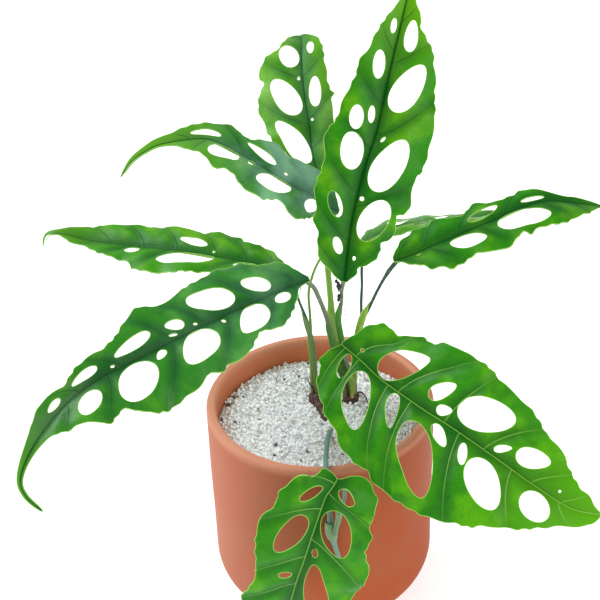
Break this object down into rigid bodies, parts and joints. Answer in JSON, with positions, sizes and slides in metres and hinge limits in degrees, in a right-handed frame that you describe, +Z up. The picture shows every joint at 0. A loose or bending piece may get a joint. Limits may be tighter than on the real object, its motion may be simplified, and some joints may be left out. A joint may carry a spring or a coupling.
{
  "type": "potted monstera obliqua peru",
  "caption": "Young climbing aroid with narrow perforated leaves on slim stalks, in a round terracotta pot topped with white granules.",
  "frame": {"origin": "centre of the pot's flat underside", "axes": "+Z up along the pot's axis, -Y towards the viewer, +X to the viewer's right"},
  "size_m": [0.2778, 0.2333, 0.3104],
  "materials": {
    "terracotta": "smooth matte",
    "soil": "loose, damp, dark",
    "granules": "loose white granules, matte",
    "bark": "brown, ringed",
    "stem": "bluish green, slightly waxy",
    "stalk": "light green, slightly glossy",
    "blade": "thin leaf, semi-gloss, darker along the veins"
  },
  "bodies": {
    "root": {"pot": "terracotta", "soil": "soil", "granules": "granules", "rootstock": "bark", "runner": "stem", "stalk_upright": "stalk", "stalk_front_right": "stalk", "stalk_front_left": "stalk", "stalk_left": "stalk", "stalk_rear_left": "stalk", "stalk_rear_upper": "stalk", "stalk_right": "stalk", "stalk_rear_right": "stalk", "stalk_runner": "stalk", "blade_upright": "blade", "blade_front_right": "blade", "blade_front_left": "blade", "blade_left": "blade", "blade_rear_left": "blade", "blade_rear_upper": "blade", "blade_right": "blade", "blade_rear_right": "blade", "blade_runner": "blade"}
  },
  "joints": []
}
